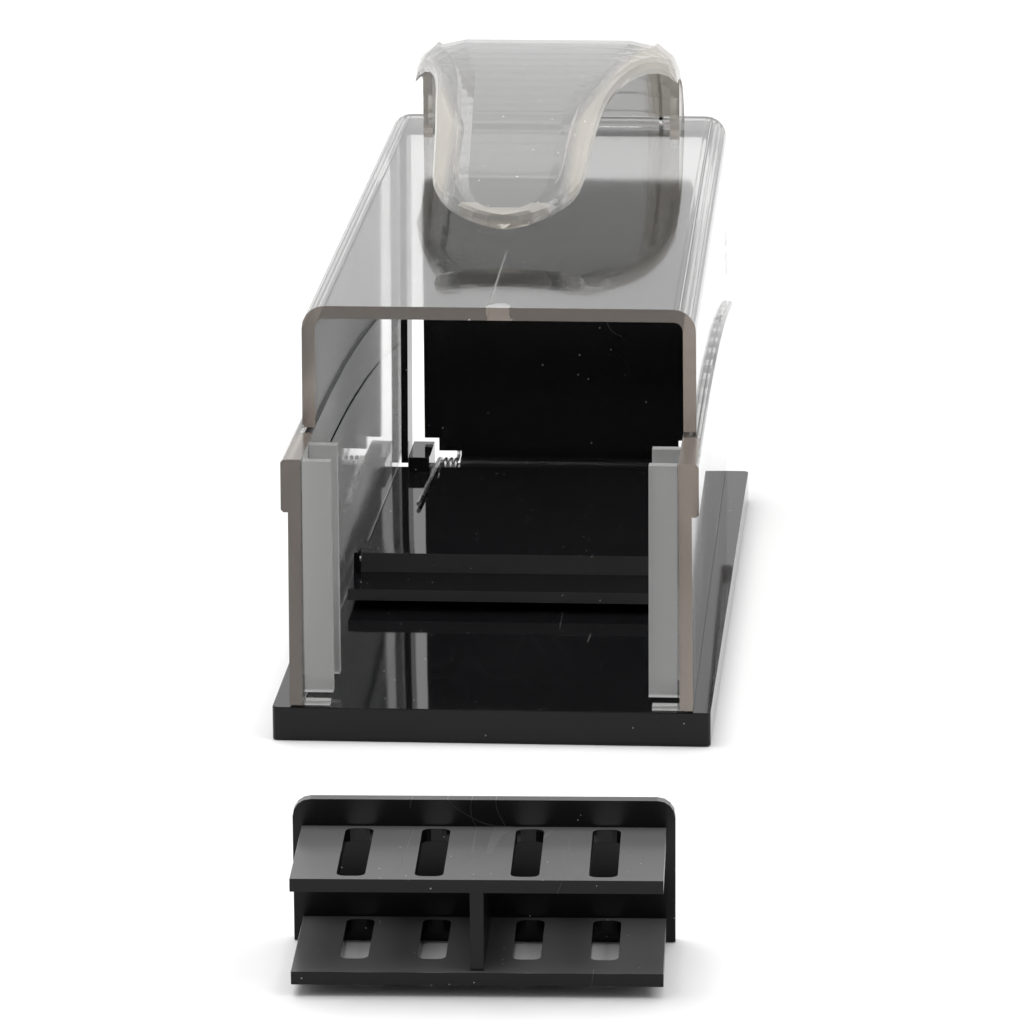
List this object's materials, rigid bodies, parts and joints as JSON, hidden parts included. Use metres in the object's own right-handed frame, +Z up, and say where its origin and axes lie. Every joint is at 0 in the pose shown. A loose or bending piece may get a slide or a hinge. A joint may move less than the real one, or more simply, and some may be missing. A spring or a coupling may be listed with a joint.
{
  "type": "live catch trap",
  "caption": "Live catch box trap: clear shell with moulded carry handle on a black tray, sprung foot-hinged door, tilting pedal and vented bait box set in front.",
  "frame": {"origin": "centre of the base tray's underside, on the resting plane", "axes": "+Z up, +Y from the near bait end to the far door end, +X to the right seen from the bait end"},
  "size_m": [0.08, 0.3272, 0.1009],
  "materials": {
    "clear_plastic": "clear",
    "black_plastic": "gloss",
    "spring_steel": "bright"
  },
  "bodies": {
    "base": {"base_tray": "black_plastic", "clear_shell": "clear_plastic", "door_frame": "black_plastic", "door_hinge_pin": "spring_steel", "pedal_pin": "spring_steel", "trip_bar_pin": "spring_steel", "door_spring": "spring_steel"},
    "door": {"entrance_door": "black_plastic"},
    "pedal": {"pedal": "black_plastic"},
    "trip_bar": {"trip_bar": "black_plastic"},
    "bait_box": {"bait_box": "black_plastic"}
  },
  "joints": [
    {"name": "door_hinge", "type": "hinge", "parent": "base", "child": "door", "pos_m": [0, 0.0937, 0.0046], "axis": [-1, 0, 0], "range_deg": [0, 90], "stiffness_Nm_per_rad": 0.004, "springref_deg": -57.3, "deforming": ["door_spring"]},
    {"name": "pedal_tilt", "type": "hinge", "parent": "base", "child": "pedal", "pos_m": [0, -0.0081, 0.0124], "axis": [-1, 0, 0], "range_deg": [0, 2.1], "stiffness_Nm_per_rad": 0.02, "springref_deg": -4.98},
    {"name": "trip_bar_tilt", "type": "hinge", "parent": "base", "child": "trip_bar", "pos_m": [0.01, -0.0675, 0.00212], "axis": [-1, 0, 0], "range_deg": [0, 0.52]},
    {"name": "bait_box_slide", "type": "slide", "parent": "base", "child": "bait_box", "axis": [-0.0349, 0.9994, 0], "range_m": [-0.05, 0.1]}
  ],
  "couplings": [
    {"joint": "trip_bar_tilt", "follows": "pedal_tilt", "ratio": 0.2433}
  ]
}
